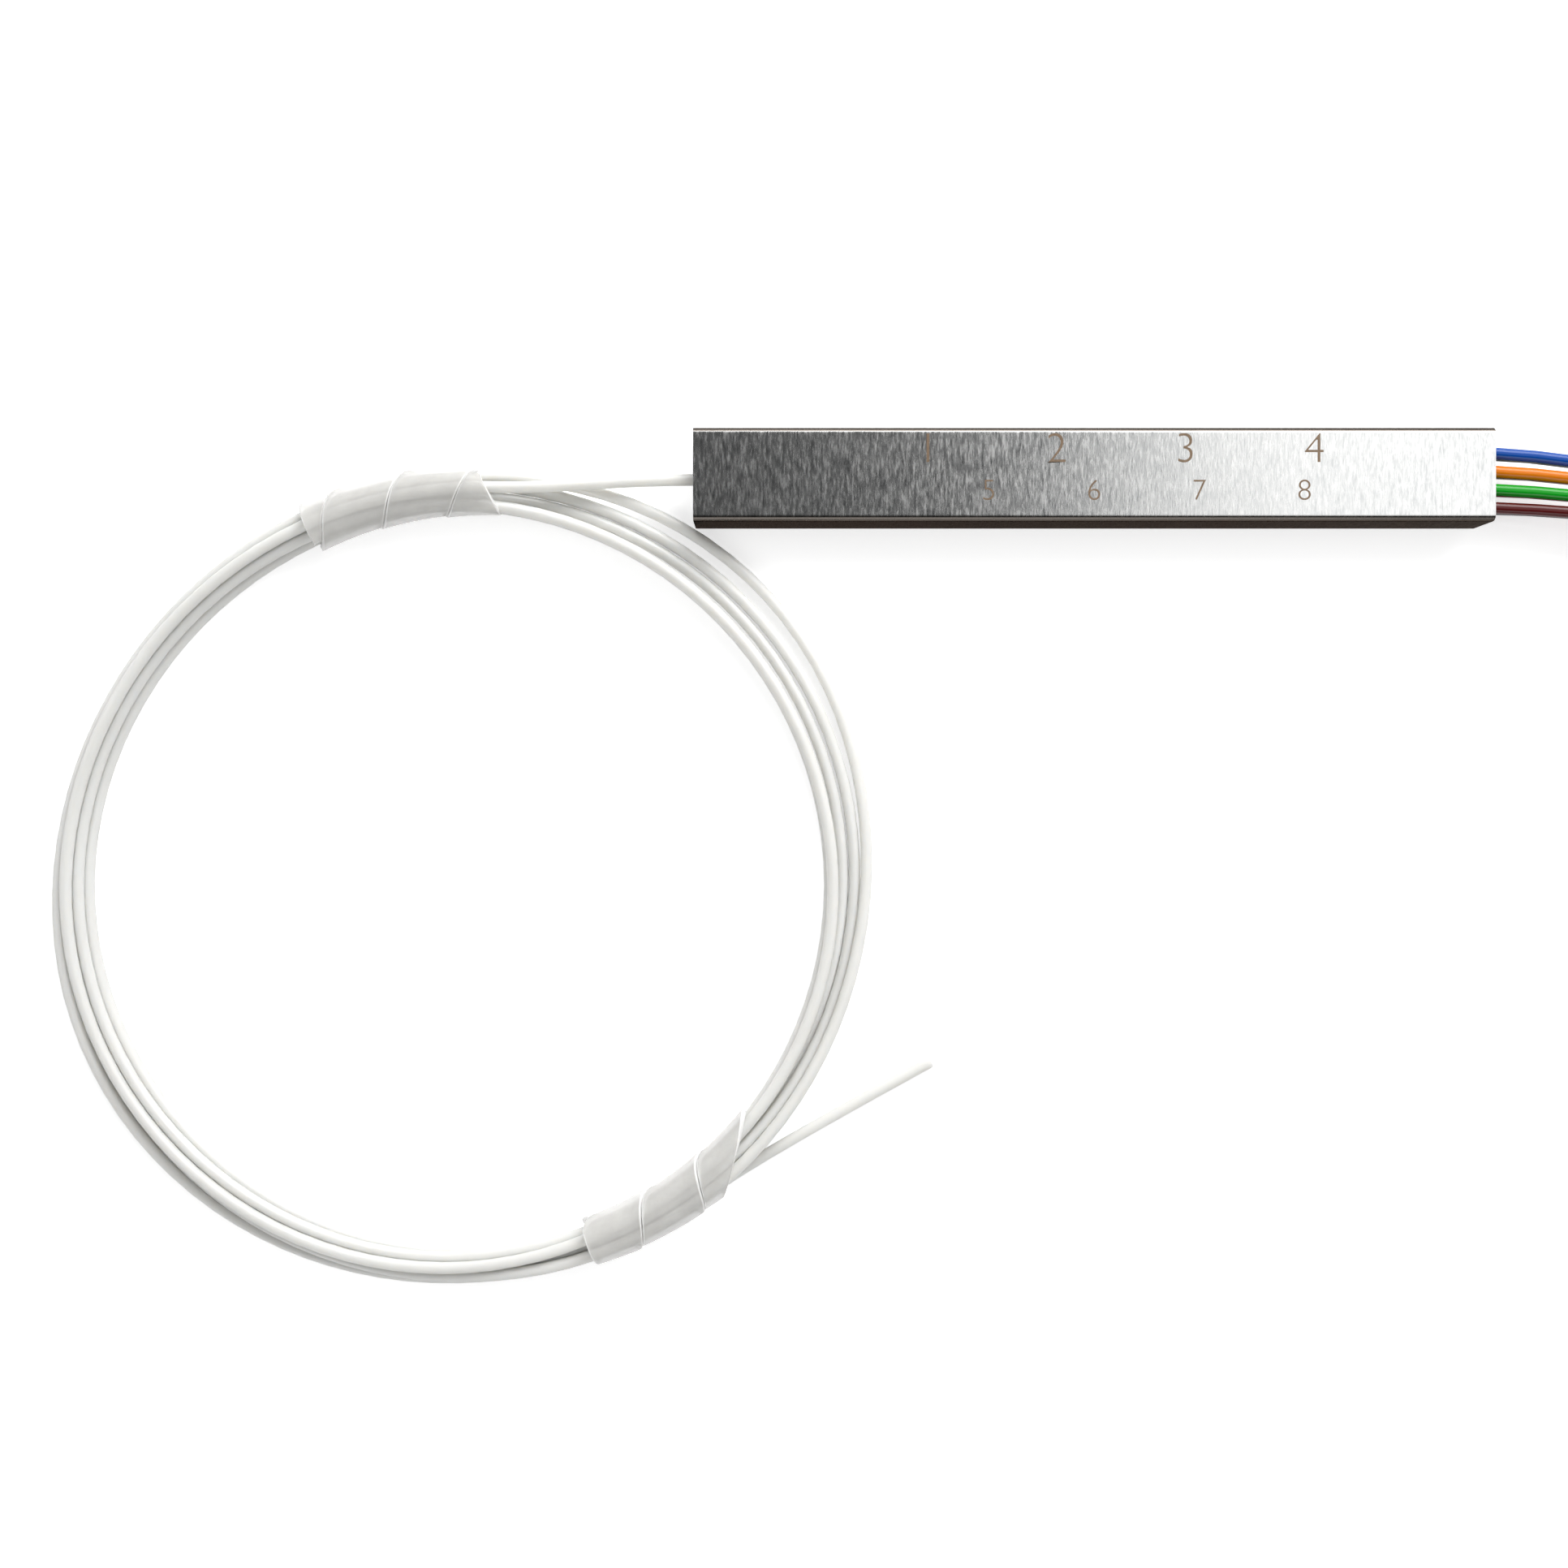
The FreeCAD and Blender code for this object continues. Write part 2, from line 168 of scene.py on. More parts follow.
def shade(wire, **sockets):
    """Close a finish with a Principled shader. Underscores in names stand for spaces."""
    named = {name.replace("_", " "): value for name, value in sockets.items()}
    shader = wire.add("ShaderNodeBsdfPrincipled", {}, named)
    wire.add("ShaderNodeOutputMaterial", {}, {"Surface": shader})


def dress(node, material):
    """Give a CAD node's object a finish in place of its plain one."""
    slots = bpy.data.objects[node].material_slots
    for slot in slots:
        slot.material = material


print("finish helpers ready")

# %% [markdown]
# The camera looks straight down on the left end of the housing and its coil, from just over a
# hand's breadth away, so the housing's front side shows as a thin band below its top.

# %% Camera
camera_place = (-23.2 * MM, -23.2 * MM, 114.0 * MM)
camera_data = bpy.data.cameras.new("camera")
camera_data.lens = 33.8
camera_data.sensor_width = 36.0
camera_data.clip_start = 1.0 * MM
camera_data.clip_end = 10.0
camera = bpy.data.objects.new("camera", camera_data)
camera.location = camera_place
bpy.context.scene.collection.objects.link(camera)
bpy.context.scene.camera = camera
print("camera above", camera_place)

# %% [markdown]
# The two coils are the heart of this part. In a real coil each pass of a tube lies beside and
# on the others. The coil is cut at evenly spaced angles, and at each cut the passes are discs
# on a plane. The discs start where the layout wants them. A few hundred small pushes part the
# ones that overlap, keep them off the floor and hold them inside a wrap's bore. A smooth curve
# doesn't go through its own control points, but near each one and halfway between two, so
# the pushes look at those places. Where tubes have to cross, a short overlap can stay.

# %% Pack the passes of a coil
tube_diameter = 0.9
stations_per_turn = 24
station_step = 360.0 / stations_per_turn
boundless = 1e3
tiny = 1e-6
push_share = 0.45
pull_home = 0.12
pull_straight = 0.35
ease_speed = 1.2


def gaps_between(discs):
    """The steps from every disc to every other, and how long they are."""
    gap = discs[:, None] - discs[None]
    return gap, np.hypot(gap[..., 0], gap[..., 1]) + boundless * np.eye(len(discs))


def push_apart(discs, diameter):
    """Move every pair of discs that overlaps apart by nearly what it overlaps."""
    gap, far = gaps_between(discs)
    push = np.clip(diameter - far, 0, None) * push_share / np.maximum(far, tiny)
    return discs + (gap * push[..., None]).sum(axis=1)


def same_cut(angles):
    """The discs at each cut, from their unrolled angles."""
    starts = np.arange(0, 360, station_step)
    return [np.flatnonzero(np.isclose(angles % 360, start)) for start in starts]


def settle(wanted, stations, chains, rooms, diameter, rounds=300):
    """Settle discs from their wanted places.

    stations lists the discs at each cut, chains the discs along each tube, and rooms the
    middle and reach of the wrap around each disc. spans are the discs that have a next one."""
    discs = wanted.copy()
    inner = np.concatenate([chain[1:-1] for chain in chains])
    before = np.concatenate([chain[:-2] for chain in chains])
    after = np.concatenate([chain[2:] for chain in chains])
    follower = np.full(len(discs), -1)
    for chain in chains:
        follower[chain[:-1]] = chain[1:]
    spans = [station[follower[station] >= 0] for station in stations]
    for turn in range(rounds):
        ease = max(0.0, 1.0 - ease_speed * turn / rounds)
        discs += pull_home * ease * (wanted - discs)
        discs[inner] += pull_straight * ease * ((discs[before] + discs[after]) / 2 - discs[inner])
        for station, span in zip(stations, spans):
            drawn = discs.copy()
            drawn[inner] += (discs[before] + discs[after] - 2 * discs[inner]) / 8
            discs[station] += push_apart(drawn[station], diameter) - drawn[station]
            halfway = (discs[span] + discs[follower[span]]) / 2
            moved = push_apart(halfway, diameter) - halfway
            discs[span] += moved
            discs[follower[span]] += moved
        from_middle = discs - rooms[:, :2]
        reach = np.hypot(from_middle[:, 0], from_middle[:, 1])
        pull = np.minimum(1.0, rooms[:, 2] / np.maximum(reach, tiny))
        discs = rooms[:, :2] + from_middle * pull[:, None]
        discs[:, 1] = np.maximum(discs[:, 1], diameter / 2)
    return discs


def closest(discs, stations):
    """The smallest distance between two discs at one cut."""
    return min(gaps_between(discs[station])[1].min() for station in stations)


def coil_point(centre, radius, angle, outward, height):
    """A point of a coil. A smooth curve cuts inside its corners, so they stand a little out."""
    out = (radius + outward) / math.cos(math.radians(station_step / 2))
    turn = math.radians(angle)
    return Vector((centre[0] + out * math.cos(turn), centre[1] + out * math.sin(turn), height))


def tangent_point(centre, radius, angle, along, height):
    """A point that left a coil at an angle and went straight on along its tangent."""
    turn = math.radians(angle)
    return Vector((centre[0] + radius * math.cos(turn) - along * math.sin(turn),
                   centre[1] + radius * math.sin(turn) + along * math.cos(turn), height))


print("stations per turn:", stations_per_turn)

# %% [markdown]
# The input tube makes five turns and a half. The wraps squeeze it into a round bundle, and on
# the right, between them, the passes fan out on the table. The layout gives each pass an
# outward and an upward place at a few coil angles, counted anticlockwise from the start.

# %% The input coil's layout
coil_radius = 29.35
coil_centre = (-48.5, -31.05)
wrap_wall = 0.4
wrap_bore = 1.47
wrap_height = wrap_bore + wrap_wall
coil_start = 90.0
wrap_top = {"low": 84.5, "high": 111.4, "seam": 98.3, "low_lean": 1.0, "high_lean": 0.0,
            "low_drift": 0.95, "high_drift": 0.0}
wrap_bottom = {"low": -68.6, "high": -43.0, "seam": -49.7, "low_lean": 0.0, "high_lean": -2.9,
               "low_drift": -0.4, "high_drift": 0.25}


def wrap_middle(wrap, angle):
    """How far out from the coil's circle a wrap's middle lies: wraps are stiffer than coils."""
    share = (angle - wrap["low"]) / (wrap["high"] - wrap["low"])
    return wrap["low_drift"] + share * (wrap["high_drift"] - wrap["low_drift"])


ring = 0.95
ring_side = ring * math.cos(math.radians(30))
slots = {"top": (0, ring), "inner_up": (-ring_side, ring / 2), "inner_low": (-ring_side, -ring / 2),
         "bottom": (0, -ring), "outer_low": (ring_side, -ring / 2), "outer_up": (ring_side, ring / 2),
         "middle": (0, 0)}


def wrapped(wrap, angle, names):
    """The places of the passes inside a wrap, from the names of their slots."""
    middle = wrap_middle(wrap, angle)
    return [(middle + slots[name][0], wrap_height + slots[name][1]) for name in names]


into_top = ("top", "inner_up", "inner_low", "bottom", "outer_low", "outer_up")
into_bottom = ("inner_up", "inner_low", "bottom", "middle", "outer_up", "outer_low")
low = tube_diameter / 2
high = low + 0.79
layout = {
    90: wrapped(wrap_top, 90, into_top),
    105: wrapped(wrap_top, 105, into_top),
    120: [(-0.1, 2.0), (-0.6, high), (-1.0, low), (-0.1, low), (0.8, low), (0.4, high)],
    150: [(-0.4, 2.0), (-0.85, high), (-1.3, low), (-0.4, low), (0.55, low), (0.1, high)],
    180: [(0.1, 2.0), (-0.35, high), (-0.8, low), (0.1, low), (1.0, low), (0.55, high)],
    210: [(0.3, high), (-0.55, high), (-0.95, low), (-0.1, low), (0.75, low), (1.4, low)],
    240: [(-0.2, 1.6), (-0.75, high), (-1.1, low), (-0.2, low), (0.5, 0.7), (1.2, low)],
    270: [(-0.4, 2.0), (-0.85, high), (-1.3, low), (-0.4, low), (0.05, high), (0.5, low)],
    300: wrapped(wrap_bottom, -60, into_bottom),
    315: wrapped(wrap_bottom, -45, into_bottom)[:5],
    340: [(0.05, high), (-0.4, low), (0.5, low), (1.4, low), (0.95, high)],
    366: [(-0.4, 1.33), (-0.55, low), (0.51, low), (1.38, low), (2.31, low)],
    385: [(-0.45, 1.33), (-0.5, low), (0.75, low), (2.05, low), (3.5, low)],
    400: [(-0.35, 1.33), (-0.4, low), (0.95, low), (2.0, low), (4.3, low)],
    414: [(-0.3, 1.33), (-0.33, low), (1.0, low), (1.95, low), (4.0, low)],
    428: [(0.0, 1.4), (-0.05, 0.5), (0.95, low), (1.85, low), (3.5, low)],
    437: [(-0.1, 1.8), (-0.1, 0.9), (0.75, 0.6), (1.6, 0.8), (2.6, 1.1)],
}
passes = len(layout[90])
print("layout angles:", len(layout), "passes:", passes)

# %% [markdown]
# The tube was wound by hand, so its passes lie where they fell. Here they get the places of
# the layout, one disc at each cut, and the settling rule lets them find room beside the rest.

# %% Settle the input coil


def coil_track(plan, plan_passes):
    """The unrolled angles of a layout with their outward and upward places."""
    rows = []
    for turn in range(plan_passes):
        for angle, places in plan.items():
            if turn < len(places):
                rows.append((360.0 * turn + angle, *places[turn]))
    return np.array(rows)


def room_at(angle):
    """The middle and reach of the wrap at an angle, or boundless room outside the wraps."""
    turned = (angle + 180.0) % 360.0 - 180.0
    for wrap in (wrap_top, wrap_bottom):
        if wrap["low"] <= turned <= wrap["high"]:
            return wrap_middle(wrap, turned), wrap_height, wrap_bore - tube_diameter / 2
    return 0.0, 0.0, boundless


track = coil_track(layout, passes)
coil_end = 300.0
last_angle = 360.0 * (passes - 1) + coil_end
angles = np.arange(coil_start, last_angle + 1, station_step)
wanted = np.stack([np.interp(angles, track[:, 0], track[:, side]) for side in (1, 2)], axis=1)
cuts = same_cut(angles)
rooms = np.array([room_at(angle) for angle in angles])
input_discs = settle(wanted, cuts, [np.arange(len(angles))], rooms, tube_diameter)
print("input stations:", len(angles), "closest at a cut:", round(closest(input_discs, cuts), 3))

# %% [markdown]
# A tube is one open NURBS curve with a round bevel. The order is set after the points,
# because before them it would stay at straight runs. The input's curve leaves the plug
# straight, rises over the outermost pass, runs round the coil and ends in a straight free tail.

# %% One curve for each tube


def tube_curve(name, points, material):
    curve = bpy.data.curves.new(name, "CURVE")
    curve.dimensions = "3D"
    spline = curve.splines.new("NURBS")
    spline.points.add(len(points) - 1)
    for point, place in zip(spline.points, points):
        point.co = (place[0] * MM, place[1] * MM, place[2] * MM, 1.0)
    spline.order_u = 3
    spline.use_endpoint_u = True
    spline.resolution_u = 4
    curve.bevel_depth = tube_diameter / 2 * MM
    curve.bevel_resolution = 4
    curve.use_fill_caps = True
    curve.materials.append(material)
    tube = bpy.data.objects.new(name, curve)
    bpy.context.scene.collection.objects.link(tube)
    return tube


bore_height = 2.0
tube_inner_end = 24.5
tail_angle = -61.6
tail_length = 25.8


def tail_point(along, outward, height):
    return tangent_point(coil_centre, coil_radius + outward, tail_angle, along, height)


input_points = [Vector((-tube_inner_end, 0, bore_height)), Vector((-33.0, -0.08, 2.05)),
                Vector((-38.5, -0.45, 2.2)), Vector((-43.3, -0.78, 2.5))]
input_points += [coil_point(coil_centre, coil_radius, angle, *disc)
                 for angle, disc in zip(angles, input_discs)]
input_points += [tail_point(4.5, 0.55, 1.3), tail_point(13.0, 0.0, 0.75),
                 tail_point(tail_length, 0.0, low)]
print("input curve points:", len(input_points))

# %% [markdown]
# Tube plastic is milky: light enters it, scatters and comes out again, so its shaded side is
# a warm grey and never dark. A little subsurface scattering does that, and a thin smooth skin
# gives the long soft highlight. The colours follow the order that fibres are counted in.

# %% Finishes of the tubes


def tube_finish(name, colour, scatter, roughness, coat, index):
    material, wire = new_finish(name)
    mottle = grain(wire, (160.0, 160.0, 160.0), detail=4.0)
    skin = grain(wire, (2600.0, 2600.0, 2600.0), detail=2.0)
    darker = tuple(0.9 * part for part in colour)
    shade(wire, Base_Color=ramp(mottle, darker, colour), Roughness=roughness + 0.12 * mottle,
          Normal=bump(wire, skin, 0.004 * MM), Subsurface_Weight=scatter,
          Subsurface_Radius=(1.0, 0.95, 0.88), Subsurface_Scale=1.0 * MM,
          Coat_Weight=coat, Coat_Roughness=0.2, IOR=index)
    return material


natural_tube = tube_finish("natural_tube", (0.825, 0.822, 0.792), 1.0, 0.34, 0.12, 1.49)
tube_colours = {
    "blue": (0.0, 0.065, 0.36), "orange": (0.74, 0.19, 0.0), "green": (0.0, 0.32, 0.008),
    "brown": (0.085, 0.002, 0.002), "slate": (0.16, 0.19, 0.20), "white": (0.83, 0.83, 0.81),
    "red": (0.45, 0.012, 0.012), "black": (0.012, 0.012, 0.014),
}
tube_finishes = {name: tube_finish(name + "_tube", colour, 0.0, 0.14, 0.0, 1.36)
                 for name, colour in tube_colours.items()}
input_cord = tube_curve("input_cord", input_points, natural_tube)
print("tube finishes:", 1 + len(tube_finishes))

# %% [markdown]
# The eight output tubes leave the plug side by side, rise over their coil and wind down
# through it: the first turn lies on top and the last at the bottom. In the bundle the passes
# sit in a honeycomb, split into bands of eight cells from the top down, one for each turn.
# A tube's cell in the next band is chosen so that no two of these moves cross.

# %% The output coil's honeycomb
output_radius = 28.3
output_centre = (70.2, -33.1)
output_bore = 4.02
output_wall = 0.5
output_height = output_bore + output_wall
output_bundle = 3.45
output_names = list(tube_colours)
output_turns = 5
cell = 0.925
bundle_pitch = 0.94


def honeycomb(count):
    """The count cells nearest to the middle, from the lowest to the highest."""
    reach = range(-8, 9)
    cells = [((column + 0.5 * (row % 2)) * cell, row * cell * math.sin(math.radians(60)))
             for row in reach for column in reach]
    cells.sort(key=lambda place: round(math.hypot(*place), 4))
    return np.array(sorted(cells[:count], key=lambda place: (round(place[1], 4), place[0])))


def short_moves(starts, ends):
    """The ends in an order that keeps two moves from crossing on the way from the starts."""
    order = list(range(len(ends)))
    swapped = True
    while swapped:
        swapped = False
        for first in range(len(starts)):
            for second in range(first):
                shift = ends[order[first]] - ends[order[second]]
                if (starts[first] - starts[second]) @ shift < -tiny:
                    order[first], order[second] = order[second], order[first]
                    swapped = True
    return ends[order]


def four_by_two(across, up):
    """The eight places of tubes four wide and two high, at the given pitches."""
    return np.array([((1.5 - index % 4) * across, (0.5 - index // 4) * up)
                     for index in range(len(output_names))])


cells = honeycomb(len(output_names) * (output_turns + 1))
places_in = four_by_two(bundle_pitch, bundle_pitch)
bands = []
for band in np.split(cells, output_turns + 1)[::-1]:
    bands.append(short_moves(bands[-1] if bands else places_in, band))
places_out = short_moves(bands[-1], places_in)
print("cells:", len(cells), "reach:", round(float(np.hypot(*cells.T).max()), 2))

# %% [markdown]
# Eight tubes wound together are stiffer than one, so this coil stays round. From the way in
# to the way out every cell is taken, and each tube keeps its own. Over the rest of the turn
# one band fewer is there, and each tube eases down to its cell in the next band.

# %% Settle the output coil
entry_angle = 86.0
exit_angle = -360.0 * output_turns
first_station = 105.0
output_angles = np.arange(first_station, exit_angle - station_step - 1, -station_step)
neck_offset = 0.4
neck_length = 17.2
heights_in = ((0.0, 8.0, neck_length), (7.7, 7.5, 5.6))
heights_out = ((0.0, 8.0, neck_length), (1.5, 1.3, 0.95))


def beside(place, turned_by, heights):
    """The disc of a straight way in or out, at an angle past the point where it leaves the coil."""
    turn = math.radians(turned_by)
    out = output_radius + neck_offset + place[0]
    along = out * math.tan(turn)
    return out / math.cos(turn) - output_radius, float(np.interp(along, *heights)) + place[1]


def output_wanted(index, angle):
    """Where one tube wants to be: it keeps its cell from the entry to the exit angle, then drops."""
    if angle > entry_angle:
        return beside(places_in[index], angle - entry_angle, heights_in)
    if angle < exit_angle:
        return beside(places_out[index], exit_angle - angle, heights_out)
    turn = min(math.floor((entry_angle - angle) / 360.0), output_turns)
    since_exit = -angle - 360.0 * turn
    share = min(max(since_exit / (360.0 - entry_angle), 0.0), 1.0)
    lower = bands[min(turn + 1, output_turns)][index]
    place = bands[turn][index] * (1 - share) + lower * share
    return place[0], output_height + place[1]


count = len(output_angles)
wanted = np.array([output_wanted(index, angle)
                   for index in range(len(output_names)) for angle in output_angles])
chains = [np.arange(count) + count * index for index in range(len(output_names))]
cuts = same_cut(np.tile(output_angles, len(output_names)))
rooms = np.tile((0.0, output_height, output_bundle), (len(wanted), 1))
straight = (output_angles > entry_angle) | (output_angles < exit_angle)
rooms[np.tile(straight, len(output_names)), 2] = boundless
output_discs = settle(wanted, cuts, chains, rooms, tube_diameter)
print("output stations:", len(wanted), "closest at a cut:", round(closest(output_discs, cuts), 3))

# %% [markdown]
# Each output tube needs its own way in and out. Both ways run along the coil's tangent, four
# tubes wide and two high, until they are clear of the bundle. The way in comes over the top
# and the way out leaves along the table, so neither has to go through the middle of the turns.

# %% The output tubes' ways in and out
pitch_across = 1.4
pitch_up = 1.2
housing_end = 30.0
bore_places = four_by_two(pitch_across, pitch_up)
straight_run = 4.9
rise_start = (27.2, 3.6)
tail_height = 0.93
upper_row_turn = -0.25
lower_row_turn = 0.05
tail_lengths = (9.5, 8.2, 10.4, 8.8, 9.1, 10.0, 8.5, 9.8)


def neck_point(angle, along, place, height):
    """A point beside the coil: along its tangent at an angle, in one of eight places."""
    out = output_radius + neck_offset + place[0]
    return tangent_point(output_centre, out, angle, along, height + place[1])


def output_points(index):
    """The control points of one output tube, from inside the plug to its free end."""
    y, up = bore_places[index]
    z = bore_height + up
    sideways = upper_row_turn if index < 4 else lower_row_turn
    points = [Vector((tube_inner_end, y, z)), Vector((housing_end + straight_run, y + sideways, z))]
    for along, height in (rise_start, (neck_length, heights_in[1][-1])):
        points.append(neck_point(entry_angle, along, places_in[index], height))
    points += [coil_point(output_centre, output_radius, angle, *disc)
               for angle, disc in zip(output_angles, output_discs[chains[index]])]
    for along, height in ((neck_length, heights_out[1][-1]),
                          (neck_length + tail_lengths[index], tail_height)):
        points.append(neck_point(exit_angle, -along, places_out[index], height))
    return points


output_cords = [tube_curve("output_cord_" + name, output_points(index), tube_finishes[name])
                for index, name in enumerate(output_names)]
print("output curves:", len(output_cords))

# %% [markdown]
# A spiral wrap is a plastic tube cut along a helix, so that it can be wound onto a bundle. It
# follows a rule, so Geometry Nodes make it: a flat grid is bent round the bundle and along the
# coil, its ends are cut off square, and a little cone in each turn lets one edge stand proud
# of the next. The result is baked to a plain mesh, then given its wall and soft edges.

# %% The spiral wrap's tree
wrap_inputs = ("Centre X", "Centre Y", "Height", "Coil radius", "Tube radius", "Pitch", "Kerf",
               "Low angle", "High angle", "Seam angle", "Low lean", "High lean",
               "Low drift", "High drift", "Cone", "Turns", "Tip")


def wrap_tree(material):
    tree = bpy.data.node_groups.new("spiral_wrap", "GeometryNodeTree")
    tree.interface.new_socket("Mesh", in_out="OUTPUT", socket_type="NodeSocketGeometry")
    for name in wrap_inputs:
        tree.interface.new_socket(name, in_out="INPUT", socket_type="NodeSocketFloat")
    wire = Wire(tree)
    inputs = tree.nodes.new("NodeGroupInput")
    given = {name: Wire(tree, inputs.outputs[name]) for name in wrap_inputs}
    sockets = {"Size X": 1.0, "Size Y": 1.0, "Vertices X": 200, "Vertices Y": 9}
    grid = wire.add("GeometryNodeMeshGrid", {}, sockets)
    split = {"Vector": wire.add("GeometryNodeInputPosition")}
    turn = wire.add("ShaderNodeSeparateXYZ", {}, split, output="X") * given["Turns"] * 2 * math.pi
    across = wire.add("ShaderNodeSeparateXYZ", {}, split, output="Y")
    width, place = strip_place(given, turn, across)
    narrow = width.math("LESS_THAN", width, given["Tip"])
    kept = wire.add("GeometryNodeDeleteGeometry", {"domain": "POINT"},
                    {"Geometry": grid, "Selection": narrow})
    edge = across.math("ABSOLUTE", across) * 2.0
    marked = wire.add("GeometryNodeStoreNamedAttribute", {"data_type": "FLOAT", "domain": "POINT"},
                      {"Geometry": kept, "Name": "edge", "Value": edge})
    bent = bent_point(wire, given, turn, across, place)
    shaped = wire.add("GeometryNodeSetPosition", {}, {"Geometry": marked, "Position": bent})
    real = wire.add("GeometryNodeRealizeInstances", {}, {"Geometry": shaped})
    done = wire.add("GeometryNodeSetMaterial", {}, {"Geometry": real, "Material": material})
    output = tree.nodes.new("NodeGroupOutput")
    tree.links.new(done.socket, output.inputs["Mesh"])
    return tree


def strip_place(given, turn, across):
    """The strip's width at a turn, and a point's place along the coil from its middle."""
    half = (given["Pitch"] - given["Kerf"]) * 0.5
    middle_angle = (given["Low angle"] + given["High angle"]) * 0.5
    per_degree = given["Coil radius"] * math.radians(1)
    seam = (given["Seam angle"] - middle_angle) * per_degree + given["Pitch"] * 0.25
    middle = seam + given["Pitch"] * turn / (2 * math.pi)
    swing = turn.math("COSINE", turn)
    low_end = (given["Low angle"] - middle_angle) * per_degree + given["Low lean"] * swing
    high_end = (given["High angle"] - middle_angle) * per_degree + given["High lean"] * swing
    start = (middle - half).max(low_end)
    end = (middle + half).min(high_end)
    width = end - start
    return width, start + width * (across + 0.5)


def bent_point(wire, given, turn, across, place):
    """Bend the flat strip round the bundle and along the coil."""
    per_degree = given["Coil radius"] * math.radians(1)
    length = (given["High angle"] - given["Low angle"]) * per_degree
    share = place / length + 0.5
    drift = given["Low drift"] + share * (given["High drift"] - given["Low drift"])
    radius = given["Tube radius"] + given["Cone"] * across
    out = given["Coil radius"] + drift + radius * turn.math("COSINE", turn)
    middle_angle = (given["Low angle"] + given["High angle"]) * 0.5
    angle = (middle_angle + place / per_degree) * math.radians(1)
    x = given["Centre X"] + out * angle.math("COSINE", angle)
    y = given["Centre Y"] + out * angle.math("SINE", angle)
    z = given["Height"] + radius * turn.math("SINE", turn)
    return wire.add("ShaderNodeCombineXYZ", {}, {"X": x, "Y": y, "Z": z})


print("wrap inputs:", len(wrap_inputs))

# %% [markdown]
# The wrap's plastic is thinner than the tubes' and clearer: the bundle shows through it as a soft
# shadow. Where the strip was cut, its edge catches the light, so the tree stored how near each point is
# to an edge, and the finish paints a paler rim there, a painted highlight, and makes it denser.

# %% The wrap's finish


def wrap_finish():
    material, wire = new_finish("milky_wrap")
    edge = wire.add("ShaderNodeAttribute", {"attribute_name": "edge"}, output="Fac")
    rim_highlight_mask = span(edge, 0.94, 0.98)
    haze = grain(wire, (500.0, 500.0, 500.0), detail=5.0)
    # Painted highlight: the cut rim is painted paler in the base colour.
    colour = ramp(haze * 0.35 + rim_highlight_mask * 0.65, (0.75, 0.74, 0.715), (0.97, 0.97, 0.96))
    shade(wire, Base_Color=colour, Roughness=0.30 + 0.2 * haze,
          Alpha=0.36 + 0.16 * haze + 0.4 * rim_highlight_mask, Normal=bump(wire, haze, 0.02 * MM),
          Subsurface_Weight=0.4, Subsurface_Radius=(1.0, 1.0, 1.0), Subsurface_Scale=0.5 * MM,
          Coat_Weight=0.2, Coat_Roughness=0.25, IOR=1.51)
    return material


milky_wrap = wrap_finish()
spiral_tree = wrap_tree(milky_wrap)
print("wrap tree nodes:", len(spiral_tree.nodes))

# %% [markdown]
# The same tree makes all four wraps from their own sizes. A baked strip is only a skin, so
# Solidify gives it the plastic's wall and Bevel rounds the cut edges, and both are baked too.

# %% Bake the wraps


def as_mesh(piece):
    """Turn a piece and its modifiers into one plain mesh."""
    bpy.context.view_layer.update()
    graph = bpy.context.evaluated_depsgraph_get()
    mesh = bpy.data.meshes.new_from_object(piece.evaluated_get(graph))
    piece.modifiers.clear()
    piece.data = mesh
    return mesh


def spiral_wrap(name, wall, sizes):
    """One wrap in metres from sizes in millimetres and degrees."""
    piece = bpy.data.objects.new(name, bpy.data.meshes.new(name))
    bpy.context.scene.collection.objects.link(piece)
    modifier = piece.modifiers.new("spiral", "NODES")
    modifier.node_group = spiral_tree
    for item in spiral_tree.interface.items_tree:
        if item.in_out == "INPUT":
            unit = 1.0 if "angle" in item.name or item.name == "Turns" else MM
            modifier[item.identifier] = float(sizes[item.name] * unit)
    as_mesh(piece)
    thick = piece.modifiers.new("wall", "SOLIDIFY")
    thick.thickness = wall * MM
    thick.offset = 0.0
    soft = piece.modifiers.new("soft_edges", "BEVEL")
    soft.width = 0.06 * MM
    soft.segments = 2
    soft.limit_method = "ANGLE"
    mesh = as_mesh(piece)
    mesh.shade_smooth()
    print(name, "faces:", len(mesh.polygons))
    return piece


def input_wrap(name, wrap):
    length = (wrap["high"] - wrap["low"]) * math.radians(1) * coil_radius
    pitch = 5.2
    lift = 0.06
    return spiral_wrap(name, wrap_wall, {
        "Centre X": coil_centre[0], "Centre Y": coil_centre[1], "Height": wrap_height + lift,
        "Coil radius": coil_radius, "Tube radius": wrap_bore + wrap_wall / 2, "Pitch": pitch,
        "Kerf": 0.09,
        "Low angle": wrap["low"], "High angle": wrap["high"], "Seam angle": wrap["seam"],
        "Low lean": wrap["low_lean"], "High lean": wrap["high_lean"], "Low drift": wrap["low_drift"],
        "High drift": wrap["high_drift"], "Cone": 0.12, "Turns": 2 * length / pitch + 2, "Tip": 0.5})


def output_wrap(name, middle):
    length = 17.0
    half = math.degrees(length / 2 / output_radius)
    pitch = 7.4
    lift = 0.07
    return spiral_wrap(name, output_wall, {
        "Centre X": output_centre[0], "Centre Y": output_centre[1], "Height": output_height + lift,
        "Coil radius": output_radius, "Tube radius": output_bore + output_wall / 2, "Pitch": pitch,
        "Kerf": 0.25, "Low angle": middle - half, "High angle": middle + half, "Seam angle": middle,
        "Low lean": 0.0, "High lean": 0.0, "Low drift": 0.0, "High drift": 0.0, "Cone": 0.14,
        "Turns": 6.0, "Tip": 0.5})


